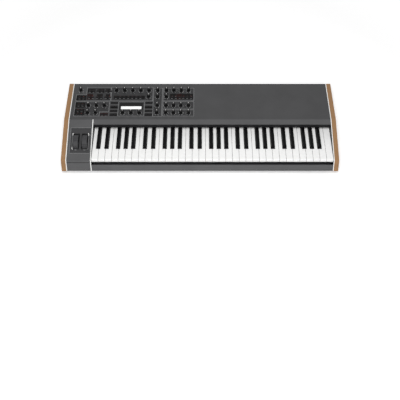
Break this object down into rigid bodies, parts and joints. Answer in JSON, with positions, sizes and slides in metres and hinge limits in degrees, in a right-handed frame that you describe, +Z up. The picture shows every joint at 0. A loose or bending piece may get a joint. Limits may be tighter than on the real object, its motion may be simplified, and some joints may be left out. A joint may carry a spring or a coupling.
{
  "type": "keyboard synthesizer",
  "caption": "Table-top keyboard synthesizer with wooden cheeks, a flat panel of knobs and buttons, a lit display, two wheels and a sprung keyboard.",
  "frame": {"origin": "on the floor under the middle of the case's plan outline", "axes": "+X to the player's right along the keyboard, +Y to the rear, +Z up"},
  "size_m": [0.9704, 0.352, 0.1128],
  "materials": {
    "panel_paint": "fine satin paint",
    "deck_paint": "fine satin paint",
    "black_steel": "matt powder coat",
    "plate_plastic": "fine grain",
    "cheek_wood": "oiled",
    "pale_trim": "satin",
    "fascia_plastic": "matt",
    "foot_rubber": "matt",
    "screw_steel": "black oxide",
    "bare_steel": "plated",
    "felt": "felt",
    "circuit_board": "solder resist",
    "component_plastic": "moulded",
    "can_metal": "plated",
    "display_body": "moulded",
    "display_glass": "lit window",
    "wheel_rubber": "soft touch",
    "natural_plastic": "polished",
    "sharp_plastic": "fine matt",
    "button_plastic": "moulded",
    "knob_plastic": "moulded"
  },
  "bodies": {
    "case": {"bottom_pan": "black_steel", "control_panel": "panel_paint", "rear_panel": "black_steel", "front_rail": "deck_paint", "wheel_block": "deck_paint", "wheel_plate": "plate_plastic", "left_cheek": "cheek_wood", "right_cheek": "cheek_wood", "trim_plates": "pale_trim", "key_fascia": "fascia_plastic", "rubber_feet": "foot_rubber", "case_screws": "screw_steel", "keybed_frame": "bare_steel", "key_pivot_rod": "bare_steel", "return_springs": "bare_steel", "contact_board": "circuit_board", "contact_strip": "foot_rubber", "stop_felts": "felt", "main_board": "circuit_board", "panel_board": "circuit_board", "knob_pots": "component_plastic", "power_supply": "can_metal", "display_module": "display_body", "display_window": "display_glass", "jack_sockets": "component_plastic", "midi_sockets": "component_plastic", "usb_socket": "can_metal", "mains_inlet": "component_plastic", "wheel_bracket": "bare_steel", "panel_knobs": "knob_plastic"},
    "pitch_wheel": {"pitch_wheel": "wheel_rubber"},
    "mod_wheel": {"mod_wheel": "wheel_rubber"},
    "power_rocker": {"power_rocker": "component_plastic"},
    "key_c": {"key_c": "natural_plastic"},
    "key_c_sharp": {"key_c_sharp": "sharp_plastic"},
    "key_d": {"key_d": "natural_plastic"},
    "key_d_sharp": {"key_d_sharp": "sharp_plastic"},
    "key_e": {"key_e": "natural_plastic"},
    "key_f": {"key_f": "natural_plastic"},
    "key_f_sharp": {"key_f_sharp": "sharp_plastic"},
    "key_g": {"key_g": "natural_plastic"},
    "key_g_sharp": {"key_g_sharp": "sharp_plastic"},
    "key_a": {"key_a": "natural_plastic"},
    "key_a_sharp": {"key_a_sharp": "sharp_plastic"},
    "key_b": {"key_b": "natural_plastic"},
    "lower_naturals": {"lower_naturals": "natural_plastic"},
    "lower_sharps": {"lower_sharps": "sharp_plastic"},
    "upper_naturals": {"upper_naturals": "natural_plastic"},
    "upper_sharps": {"upper_sharps": "sharp_plastic"},
    "left_buttons": {"left_buttons": "button_plastic"},
    "display_buttons": {"display_buttons": "button_plastic"},
    "sound_buttons": {"sound_buttons": "button_plastic"},
    "volume_knob": {"volume_knob": "knob_plastic"},
    "value_knob_1": {"value_knob_1": "knob_plastic"},
    "value_knob_2": {"value_knob_2": "knob_plastic"},
    "value_knob_3": {"value_knob_3": "knob_plastic"},
    "filter_knob_1": {"filter_knob_1": "knob_plastic"},
    "filter_knob_2": {"filter_knob_2": "knob_plastic"},
    "filter_knob_3": {"filter_knob_3": "knob_plastic"},
    "filter_knob_4": {"filter_knob_4": "knob_plastic"}
  },
  "joints": [
    {"name": "pitch_wheel_turn", "type": "hinge", "parent": "case", "child": "pitch_wheel", "pos_m": [-0.4375, -0.08035, 0.06012], "axis": [-1, 0, 0], "range_deg": [-40, 40], "stiffness_Nm_per_rad": 0.06},
    {"name": "mod_wheel_turn", "type": "hinge", "parent": "case", "child": "mod_wheel", "pos_m": [-0.406, -0.08035, 0.06012], "axis": [-1, 0, 0], "range_deg": [0, 76]},
    {"name": "power_rocker_tilt", "type": "hinge", "parent": "case", "child": "power_rocker", "pos_m": [0.41875, 0.17102, 0.043], "axis": [1, 0, 0], "range_deg": [0, 16]},
    {"name": "key_c_press", "type": "hinge", "parent": "case", "child": "key_c", "pos_m": [0, 0.03752, 0.0575], "axis": [1, 0, 0], "range_deg": [0, 2.95], "stiffness_Nm_per_rad": 1, "springref_deg": -5.73},
    {"name": "key_c_sharp_press", "type": "hinge", "parent": "case", "child": "key_c_sharp", "pos_m": [0, 0.03752, 0.0575], "axis": [1, 0, 0], "range_deg": [0, 2.95], "stiffness_Nm_per_rad": 1, "springref_deg": -5.73},
    {"name": "key_d_press", "type": "hinge", "parent": "case", "child": "key_d", "pos_m": [0, 0.03752, 0.0575], "axis": [1, 0, 0], "range_deg": [0, 2.95], "stiffness_Nm_per_rad": 1, "springref_deg": -5.73},
    {"name": "key_d_sharp_press", "type": "hinge", "parent": "case", "child": "key_d_sharp", "pos_m": [0, 0.03752, 0.0575], "axis": [1, 0, 0], "range_deg": [0, 2.95], "stiffness_Nm_per_rad": 1, "springref_deg": -5.73},
    {"name": "key_e_press", "type": "hinge", "parent": "case", "child": "key_e", "pos_m": [0, 0.03752, 0.0575], "axis": [1, 0, 0], "range_deg": [0, 2.95], "stiffness_Nm_per_rad": 1, "springref_deg": -5.73},
    {"name": "key_f_press", "type": "hinge", "parent": "case", "child": "key_f", "pos_m": [0, 0.03752, 0.0575], "axis": [1, 0, 0], "range_deg": [0, 2.95], "stiffness_Nm_per_rad": 1, "springref_deg": -5.73},
    {"name": "key_f_sharp_press", "type": "hinge", "parent": "case", "child": "key_f_sharp", "pos_m": [0, 0.03752, 0.0575], "axis": [1, 0, 0], "range_deg": [0, 2.95], "stiffness_Nm_per_rad": 1, "springref_deg": -5.73},
    {"name": "key_g_press", "type": "hinge", "parent": "case", "child": "key_g", "pos_m": [0, 0.03752, 0.0575], "axis": [1, 0, 0], "range_deg": [0, 2.95], "stiffness_Nm_per_rad": 1, "springref_deg": -5.73},
    {"name": "key_g_sharp_press", "type": "hinge", "parent": "case", "child": "key_g_sharp", "pos_m": [0, 0.03752, 0.0575], "axis": [1, 0, 0], "range_deg": [0, 2.95], "stiffness_Nm_per_rad": 1, "springref_deg": -5.73},
    {"name": "key_a_press", "type": "hinge", "parent": "case", "child": "key_a", "pos_m": [0, 0.03752, 0.0575], "axis": [1, 0, 0], "range_deg": [0, 2.95], "stiffness_Nm_per_rad": 1, "springref_deg": -5.73},
    {"name": "key_a_sharp_press", "type": "hinge", "parent": "case", "child": "key_a_sharp", "pos_m": [0, 0.03752, 0.0575], "axis": [1, 0, 0], "range_deg": [0, 2.95], "stiffness_Nm_per_rad": 1, "springref_deg": -5.73},
    {"name": "key_b_press", "type": "hinge", "parent": "case", "child": "key_b", "pos_m": [0, 0.03752, 0.0575], "axis": [1, 0, 0], "range_deg": [0, 2.95], "stiffness_Nm_per_rad": 1, "springref_deg": -5.73},
    {"name": "lower_naturals_press", "type": "hinge", "parent": "case", "child": "lower_naturals", "pos_m": [0, 0.03752, 0.0575], "axis": [1, 0, 0], "range_deg": [0, 2.95], "stiffness_Nm_per_rad": 14, "springref_deg": -5.73},
    {"name": "lower_sharps_press", "type": "hinge", "parent": "case", "child": "lower_sharps", "pos_m": [0, 0.03752, 0.0575], "axis": [1, 0, 0], "range_deg": [0, 2.95], "stiffness_Nm_per_rad": 10, "springref_deg": -5.73},
    {"name": "upper_naturals_press", "type": "hinge", "parent": "case", "child": "upper_naturals", "pos_m": [0, 0.03752, 0.0575], "axis": [1, 0, 0], "range_deg": [0, 2.95], "stiffness_Nm_per_rad": 15, "springref_deg": -5.73},
    {"name": "upper_sharps_press", "type": "hinge", "parent": "case", "child": "upper_sharps", "pos_m": [0, 0.03752, 0.0575], "axis": [1, 0, 0], "range_deg": [0, 2.95], "stiffness_Nm_per_rad": 10, "springref_deg": -5.73},
    {"name": "left_buttons_press", "type": "slide", "parent": "case", "child": "left_buttons", "axis": [0, 0, -1], "range_m": [0, 0.001], "stiffness_N_per_m": 6600, "springref_m": -0.001},
    {"name": "display_buttons_press", "type": "slide", "parent": "case", "child": "display_buttons", "axis": [0, 0, -1], "range_m": [0, 0.001], "stiffness_N_per_m": 4800, "springref_m": -0.001},
    {"name": "sound_buttons_press", "type": "slide", "parent": "case", "child": "sound_buttons", "axis": [0, 0, -1], "range_m": [0, 0.001], "stiffness_N_per_m": 3900, "springref_m": -0.001},
    {"name": "volume_knob_turn", "type": "hinge", "parent": "case", "child": "volume_knob", "pos_m": [-0.43925, 0.13902, 0.0985], "axis": [0, 0, 1], "range_deg": [-150, 150]},
    {"name": "value_knob_1_turn", "type": "hinge", "parent": "case", "child": "value_knob_1", "pos_m": [-0.27925, 0.03002, 0.0985], "axis": [0, 0, 1], "range_deg": [-150, 150]},
    {"name": "value_knob_2_turn", "type": "hinge", "parent": "case", "child": "value_knob_2", "pos_m": [-0.24925, 0.03002, 0.0985], "axis": [0, 0, 1], "range_deg": [-150, 150]},
    {"name": "value_knob_3_turn", "type": "hinge", "parent": "case", "child": "value_knob_3", "pos_m": [-0.21925, 0.03002, 0.0985], "axis": [0, 0, 1], "range_deg": [-150, 150]},
    {"name": "filter_knob_1_turn", "type": "hinge", "parent": "case", "child": "filter_knob_1", "pos_m": [-0.12325, 0.13902, 0.0985], "axis": [0, 0, 1], "range_deg": [-150, 150]},
    {"name": "filter_knob_2_turn", "type": "hinge", "parent": "case", "child": "filter_knob_2", "pos_m": [-0.09625, 0.13902, 0.0985], "axis": [0, 0, 1], "range_deg": [-150, 150]},
    {"name": "filter_knob_3_turn", "type": "hinge", "parent": "case", "child": "filter_knob_3", "pos_m": [-0.06925, 0.13902, 0.0985], "axis": [0, 0, 1], "range_deg": [-150, 150]},
    {"name": "filter_knob_4_turn", "type": "hinge", "parent": "case", "child": "filter_knob_4", "pos_m": [-0.04225, 0.13902, 0.0985], "axis": [0, 0, 1], "range_deg": [-150, 150]}
  ]
}
